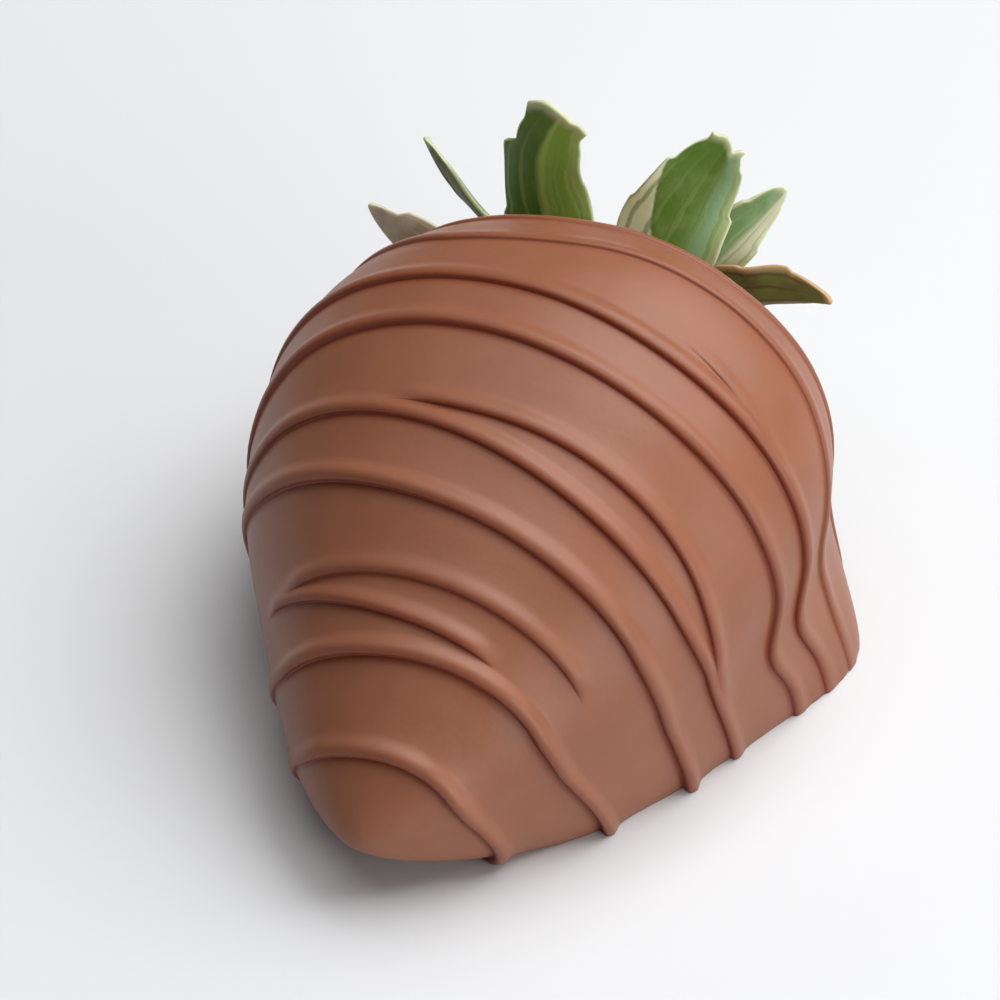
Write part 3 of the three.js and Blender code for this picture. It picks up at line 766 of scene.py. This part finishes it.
def coat_points(angles, rows_per_band):
    """Rows of points of the finished coat from the tip to the blunt end, and the painted shade in
    their creases.
    """
    stations, distances = crest_line()
    courses = [strand_course(strand, angles) for strand in STRANDS]
    for index in range(1, len(courses)):
        courses[index] = np.maximum(courses[index], courses[index - 1] + STRAND_GAP)
    creases = np.interp(np.clip(courses, 0, 1), stations, distances)
    edges = np.vstack((0 * angles, creases, 0 * angles + distances[-1]))
    rows, bands = coat_rows(edges, rows_per_band)
    station = np.interp(rows, distances, stations)
    angle = np.broadcast_to(angles, station.shape)
    points = skin(station, angle)
    outward, along = skin_directions(station, angle)
    presences = [strand_presence(strand, angles) for strand in STRANDS]
    # Painted shade in the creases: fainter before lower strands and where a broken strand fades.
    shade_depths = [min(strand.height / CREASE_SHADE_FULL, 1) ** 2 for strand in STRANDS]
    painted_shade = [depth * presence for depth, presence in zip(shade_depths, presences)]
    painted_shade = [0 * angles, *painted_shade, 0 * angles]  # none at the tip and at the blunt end
    swell = sum(share * np.sin(waves * angles) for waves, share in SWELLINGS)
    thinned = 1 - LEFT_THINNING * smooth((-angles - LEFT_START) / LEFT_REACH)
    height = np.zeros_like(rows)
    lean = np.zeros_like(rows)
    crease_shade = np.zeros_like(rows)
    for row, band in enumerate(bands):
        for index in range(max(band - REACHING, 0), band):
            strand = STRANDS[index]
            share, rise = bead(rows[row] - creases[index], strand)
            own = share * presences[index]
            size = strand.height * thinned * (1 + swell * math.cos(STRAND_PHASE * index))
            height[row] = size * own + height[row] * (1 - own)
            lean[row] = -UNDERCUT * size * presences[index] * np.sin(math.pi * rise)
        # painted shade behind one crease and before the next
        behind = painted_shade[band] * hump(rows[row], edges[band], CREASE_SHADE_WIDTH)
        ahead = painted_shade[band + 1] * hump(rows[row], edges[band + 1], CREASE_SHADE_TOE)
        crease_shade[row] = np.maximum(behind, ahead)
    low = np.maximum(points[..., 2], 0)
    blunt = np.clip((station - PLATE_STATION) / PLATE_REACH, 0, 1)
    drip = 1 + DRIP_GAIN * hump(low, 0, DRIP_HEIGHT)
    drip *= 1 - PLATE_THINNING * blunt * hump(low, 0, PLATE_HEIGHT)
    height = height * drip + lumps(points)
    moved = points + outward * height[..., None] + along * (lean * drip)[..., None]
    return moved, crease_shade


# ---- the leaves' shape ----------------------------------------------------------------------
def turned(vectors, axes, angles):
    """The vectors turned about the unit axes that they are square to."""
    c, s = np.cos(angles)[:, None], np.sin(angles)[:, None]
    return vectors * c + np.cross(axes, vectors) * s


def leaf_axes(leaf, outward, back, steps):
    """A leaf's forward and sideways directions at each step, before its twist."""
    across = np.cross(outward, back)
    lean = np.radians(leaf.lift + leaf.curl * steps)[:, None]
    upright = outward * np.cos(lean) + back * np.sin(lean)
    bend = np.radians(leaf.sweep * steps)[:, None]
    forward = upright * np.cos(bend) + across * np.sin(bend)
    return forward, across * np.cos(bend) - upright * np.sin(bend)


def leaf_points(leaf, along, across, ripple_height):
    """Points of a leaf's middle surface, along from 0 to 1 and across from -1 to 1."""
    angle = math.radians(leaf.angle)
    outward = np.array((math.sin(angle), 0, math.cos(angle)))
    back = np.array((0.0, 1.0, 0.0))
    steps = np.linspace(0, 1, LEAF_ROWS + 1)
    start = np.array(CROWN) + outward * LEAF_START + back * (LEAF_BACK + leaf.step * MM)
    pace = leaf.length * MM / LEAF_ROWS
    course, _ = leaf_axes(leaf, outward, back, np.minimum(steps + LEAF_LEAD, 1))
    centres = start + np.vstack((np.zeros(3), np.cumsum(course[1:] * pace, axis=0)))
    forward, sideways = leaf_axes(leaf, outward, back, steps)
    sideways = turned(sideways, forward, np.radians(leaf.twist) * steps)
    up = np.cross(sideways, forward)
    row = np.rint(along * LEAF_ROWS).astype(int)
    half = leaf_half_width(leaf, along, across)
    fold = leaf.keel[0] + leaf.keel[1] * (along - 0.5)
    keel = leaf.fold * half * np.abs(across - np.minimum(fold, 1))
    wave = np.sin(2 * math.pi * LEAF_WAVES * along + LEAF_SHEAR * across + leaf.angle)
    ripple = ripple_height * across**2 * wave * np.sin(math.pi * along)
    groove = VEIN_RELIEF * np.abs(np.cos(VEIN_COMB * across)) ** VEIN_SHARPNESS
    height = keel + ripple + groove * np.sin(math.pi * along)
    reach = sum(size * MM * hump(across, place, spread) for place, size, spread in leaf.lobes)
    return (
        centres[row]
        + forward[row] * (reach * smooth(2 * along - 1))[:, None]
        + sideways[row] * (half * across)[:, None]
        + up[row] * height[:, None]
    )


def leaf_half_width(leaf, along, across):
    """Half the width of a leaf at each point.

    Its edges have forward pointing teeth, which come in over the middle third of its length.
    """
    oval = np.sin(math.pi * (LEAF_BASE + (1 - LEAF_BASE) * along) ** leaf.fullness)
    oval = np.maximum(oval, 0) ** (1 + (leaf.blunt - 1) * np.minimum(2 * along, 1))
    outline = np.maximum(oval, leaf.tip * along)
    saw = (LEAF_TEETH * along + np.where(across > 0, *TEETH_START)) % 1.0
    depth = np.where(across > 0, *leaf.teeth)
    tooth = depth * (1 - saw) * across**2 * np.clip(3 * along - 1, 0, 1)
    half = leaf.width * MM / 2 * outline * (1 - tooth)
    least = LEAF_BASE_HALF_WIDTH + (LEAF_TIP_HALF_WIDTH - LEAF_BASE_HALF_WIDTH) * along
    return np.maximum(half, least)


# ---- making and finishing pieces ------------------------------------------------------------
def select_only(piece):
    """Makes the piece the one selected, active object."""
    bpy.ops.object.select_all(action="DESELECT")
    piece.select_set(True)
    bpy.context.view_layer.objects.active = piece


def new_piece(name, node, materials):
    """Names the active object, gives it materials and stands it in for a frame node."""
    piece = bpy.context.object
    piece.name = piece.data.name = name
    for material in materials:
        piece.data.materials.append(material)
    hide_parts(node)
    return piece


def set_points(piece, points):
    """Moves every vertex of a piece to its new place."""
    piece.data.vertices.foreach_set("co", np.ascontiguousarray(points, np.float32).ravel())
    piece.data.update()


def get_points(piece):
    """The places of a piece's vertices."""
    points = np.zeros(len(piece.data.vertices) * 3, np.float32)
    piece.data.vertices.foreach_get("co", points)
    return points.reshape(-1, 3).astype(float)


def apply_modifier(piece, name, kind, **values):
    """Adds a modifier with these settings and applies it."""
    select_only(piece)
    modifier = piece.modifiers.new(name, kind)
    for key, value in values.items():
        setattr(modifier, key, value)
    bpy.ops.object.modifier_apply(modifier=name)


class STRAWBERRY_OT_coat(bpy.types.Operator):
    """Model the milk chocolate coat with its raised drizzle strands and pooled foot"""

    bl_idname = "strawberry.coat"
    bl_label = "Chocolate Coat"

    def execute(self, context):
        coat = context.scene.strawberry_coat
        rings = (len(STRANDS) + 1) * coat.band_rows
        bpy.ops.object.select_all(action="DESELECT")
        bpy.ops.mesh.primitive_uv_sphere_add(
            segments=coat.columns, ring_count=rings, radius=COAT_LENGTH / 2,
            location=MIDDLE, rotation=(-math.pi / 2, 0, 0),
        )
        piece = new_piece("coat", "chocolate_coat", [milk_chocolate()])
        bpy.ops.object.transform_apply(location=True, rotation=True, scale=True)
        shape, crease_shade = self.shape(piece, coat, rings)
        set_points(piece, shape)
        # the painted crease shade is stored on the points for the material
        layer = piece.data.attributes.new("crease_shade", "FLOAT", "POINT")
        layer.data.foreach_set("value", crease_shade.astype(np.float32))
        self.cut_flat(piece)
        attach(piece, BODY)
        return {"FINISHED"}

    @staticmethod
    def shape(piece, coat, rings):
        """New places and painted crease shade values of the sphere's vertices, by their ring and
        segment.
        """
        start = get_points(piece) - np.array(MIDDLE)
        from_tip = np.arccos(np.clip(-start[:, 1] / (COAT_LENGTH / 2), -1, 1))
        ring = np.rint(from_tip * rings / math.pi).astype(int)
        turn = np.arctan2(start[:, 0], start[:, 2]) % (2 * math.pi)
        segment = np.rint(turn * coat.columns / (2 * math.pi)).astype(int) % coat.columns
        angles = np.arange(coat.columns) * 2 * math.pi / coat.columns
        angles = np.where(angles > math.pi, angles - 2 * math.pi, angles)
        points, crease_shade = coat_points(angles, coat.band_rows)
        if len(points) != rings - 1:
            raise RuntimeError(f"{len(points)} rows were worked out for {rings - 1} rings")
        body = (ring > 0) & (ring < rings)
        shape = np.zeros_like(start)
        value = np.zeros(len(start))
        shape[body] = points[ring[body] - 1, segment[body]]
        value[body] = crease_shade[ring[body] - 1, segment[body]]
        shape[ring == 0] = np.array(MIDDLE) + (0, -COAT_LENGTH / 2, TIP_CENTRE_Z)
        shape[ring == rings] = np.array(MIDDLE) + (0, COAT_LENGTH / 2, CAP_CENTRE_Z)
        return shape, value

    @staticmethod
    def cut_flat(piece):
        """Cuts the coat off flat at the plate and closes the cut."""
        select_only(piece)
        bpy.ops.object.mode_set(mode="EDIT")
        bpy.ops.mesh.select_all(action="SELECT")
        bpy.ops.mesh.bisect(
            plane_co=(0, 0, 0), plane_no=(0, 0, 1), use_fill=True, clear_inner=True,
            threshold=1e-7,
        )
        bpy.ops.object.mode_set(mode="OBJECT")
        bpy.ops.object.shade_smooth()
        for face in piece.data.polygons:
            if face.normal.z < FLAT_NORMAL and abs(face.center.z) < FLAT_HEIGHT:
                face.use_smooth = False


class STRAWBERRY_OT_leaves(bpy.types.Operator):
    """Model the fourteen leaves of the crown, one of them dried and curled"""

    bl_idname = "strawberry.leaves"
    bl_label = "Leaves"

    def execute(self, context):
        crown = context.scene.strawberry_crown
        finishes = leaf_finishes()
        for leaf in LEAVES:
            bpy.ops.object.select_all(action="DESELECT")
            bpy.ops.mesh.primitive_grid_add(
                x_subdivisions=LEAF_COLUMNS, y_subdivisions=LEAF_ROWS, size=leaf.length * MM
            )
            name = leaf.node.replace("leaf", "sepal")
            piece = new_piece(name, leaf.node, finishes[leaf.finish])
            flat = get_points(piece)
            along = flat[:, 1] / (leaf.length * MM) + 0.5
            across = flat[:, 0] / (leaf.length * MM) * 2
            set_points(piece, leaf_points(leaf, along, across, crown.ripple))
            self.thicken(piece, across, crown)
            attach(piece, BODY)
        return {"FINISHED"}

    @staticmethod
    def thicken(piece, across, crown):
        """Gives the leaf its thickness, less at its edges, and rounds it."""
        group = piece.vertex_groups.new(name="thick")
        for index, place in enumerate(across):
            group.add([index], 1 - abs(place) ** LEAF_THINNING, "REPLACE")
        apply_modifier(
            piece, "thickness", "SOLIDIFY",
            thickness=crown.leaf_thickness, offset=0.0, material_offset=1, material_offset_rim=2,
            vertex_group="thick", thickness_vertex_group=crown.edge_share,
        )
        piece.vertex_groups.clear()
        apply_modifier(piece, "rounding", "SUBSURF", levels=1, render_levels=1)
        bpy.ops.object.shade_smooth()


class STRAWBERRY_OT_stalk(bpy.types.Operator):
    """Model the calyx disc behind the leaves and the cut stem on it"""

    bl_idname = "strawberry.stalk"
    bl_label = "Calyx Disc and Stem"

    def execute(self, context):
        self.disc()
        self.stem()
        return {"FINISHED"}

    @staticmethod
    def disc():
        """A round cushion, flat towards the berry and domed and ribbed away from it."""
        bpy.ops.object.select_all(action="DESELECT")
        bpy.ops.mesh.primitive_uv_sphere_add(
            segments=64, ring_count=40, radius=DISC_RADIUS, location=CROWN,
            rotation=(-math.pi / 2, 0, 0),
        )
        material = stalk_material("calyx_green", srgb(118, 134, 66), srgb(160, 168, 100), (1, 1, 1))
        piece = new_piece("calyx", "calyx_disc", [material])
        bpy.ops.object.transform_apply(location=True, rotation=True, scale=True)
        places = get_points(piece) - np.array(CROWN)
        turn = np.arctan2(places[:, 0], places[:, 2])
        radius = np.hypot(places[:, 0], places[:, 2]) / DISC_RADIUS
        rib = 1 - RIB_DEPTH * (0.5 - 0.5 * np.cos(DISC_RIBS * turn)) * radius
        depth = np.clip(places[:, 1] / DISC_RADIUS, 0, 1)
        places[:, 1] = DISC_THICKNESS * depth**DISC_DOME * rib
        places[:, 0] *= rib
        places[:, 2] *= rib
        set_points(piece, places + np.array(CROWN))
        select_only(piece)
        bpy.ops.object.shade_smooth_by_angle(angle=math.radians(50))
        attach(piece, BODY)

    @staticmethod
    def stem():
        """A short stem, cut off square, its edges rounded."""
        start = CROWN + Vector((0, DISC_THICKNESS + 2 * CLEARANCE, 0))
        middle = start + Vector((0, STEM_LENGTH / 2 * math.cos(STEM_LEAN), 0))
        bpy.ops.object.select_all(action="DESELECT")
        bpy.ops.mesh.primitive_cone_add(
            vertices=32, radius1=STEM_RADIUS, radius2=STEM_END_RADIUS, depth=STEM_LENGTH,
            location=middle, rotation=(STEM_LEAN - math.pi / 2, 0, 0), end_fill_type="NGON",
        )
        material = stalk_material(
            "stem_green", srgb(128, 142, 72), srgb(168, 172, 108), (1, 0.2, 1)
        )
        piece = new_piece("stem", "stem_stub", [material])
        bpy.ops.object.mode_set(mode="EDIT")
        bpy.ops.mesh.select_all(action="SELECT")
        bpy.ops.mesh.subdivide(number_cuts=3)
        bpy.ops.object.mode_set(mode="OBJECT")
        bpy.ops.object.transform_apply(location=True, rotation=True, scale=True)
        apply_modifier(
            piece, "edges", "BEVEL", width=STEM_BEVEL, segments=2, limit_method="ANGLE"
        )
        bpy.ops.object.shade_smooth_by_angle(angle=math.radians(40))
        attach(piece, BODY)


def aimed(azimuth, elevation, distance):
    """Place and rotation of a light or camera that looks at the berry from this direction."""
    level = math.cos(elevation)
    back = Vector((math.sin(azimuth) * level, -math.cos(azimuth) * level, math.sin(elevation)))
    place = MIDDLE + Vector((0, 0, TARGET_HEIGHT)) + back * distance
    return {"location": place, "rotation": back.to_track_quat("Z", "Y").to_euler()}


class STRAWBERRY_OT_stage(bpy.types.Operator):
    """Lay the pale floor and set the soft lights and the camera"""

    bl_idname = "strawberry.stage"
    bl_label = "Stage"

    def execute(self, context):
        stage = context.scene.strawberry_stage
        bpy.ops.object.select_all(action="DESELECT")
        bpy.ops.mesh.primitive_plane_add(size=FLOOR_SIZE, location=(0, 0, -FLOOR_DROP))
        floor = bpy.context.object
        floor.name = "floor"
        material, tree, shader = new_material("pale_floor", Roughness=0.5)
        feed(tree, shader.inputs["Base Color"], tuple(stage.floor))
        floor.data.materials.append(material)
        for name, azimuth, elevation, size, power in LIGHTS:
            place = aimed(math.radians(azimuth), math.radians(elevation), LIGHT_DISTANCE)
            bpy.ops.object.light_add(type="AREA", **place)
            lamp = bpy.context.object
            lamp.name = name
            lamp.data.energy = power
            lamp.data.size = size
        world = bpy.data.worlds.new("studio")
        world.use_nodes = True
        background = world.node_tree.nodes["Background"]
        background.inputs["Color"].default_value = (1, 1, 1, 1)
        background.inputs["Strength"].default_value = WORLD_STRENGTH
        context.scene.world = world
        context.scene.view_settings.view_transform = "Standard"
        bpy.ops.object.camera_add(**aimed(stage.azimuth, stage.elevation, stage.distance))
        camera = bpy.context.object
        camera.name = "camera"
        camera.data.lens = CAMERA_LENS
        camera.data.clip_start = CAMERA_NEAR
        context.scene.camera = camera
        return {"FINISHED"}


class STRAWBERRY_PT_sidebar(bpy.types.Panel):
    """Sizes, colours and steps of the strawberry"""

    bl_idname = "STRAWBERRY_PT_sidebar"
    bl_label = "Chocolate Coated Strawberry"
    bl_space_type = "VIEW_3D"
    bl_region_type = "UI"
    bl_category = "Strawberry"

    def draw(self, context):
        layout = self.layout
        for operator in OPERATORS:
            layout.operator(operator.bl_idname)
        for name, settings in SETTINGS.items():
            box = layout.box()
            for key in settings.__annotations__:
                box.prop(getattr(context.scene, name), key)


SETTINGS = {
    "strawberry_coat": CoatSettings,
    "strawberry_crown": CrownSettings,
    "strawberry_stage": StageSettings,
}
OPERATORS = (
    STRAWBERRY_OT_coat,
    STRAWBERRY_OT_leaves,
    STRAWBERRY_OT_stalk,
    STRAWBERRY_OT_stage,
)


def register():
    """Adds the settings, operators and panel to Blender."""
    for kind in (*SETTINGS.values(), *OPERATORS, STRAWBERRY_PT_sidebar):
        bpy.utils.register_class(kind)
    for name, kind in SETTINGS.items():
        setattr(bpy.types.Scene, name, PointerProperty(type=kind))


def unregister():
    """Takes them out again."""
    for name in SETTINGS:
        delattr(bpy.types.Scene, name)
    for kind in reversed((*SETTINGS.values(), *OPERATORS, STRAWBERRY_PT_sidebar)):
        bpy.utils.unregister_class(kind)


def main():
    """Makes every piece and the stage."""
    register()
    bpy.ops.strawberry.coat()
    bpy.ops.strawberry.leaves()
    bpy.ops.strawberry.stalk()
    bpy.ops.strawberry.stage()
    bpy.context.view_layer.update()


if __name__ == "__main__":
    main()
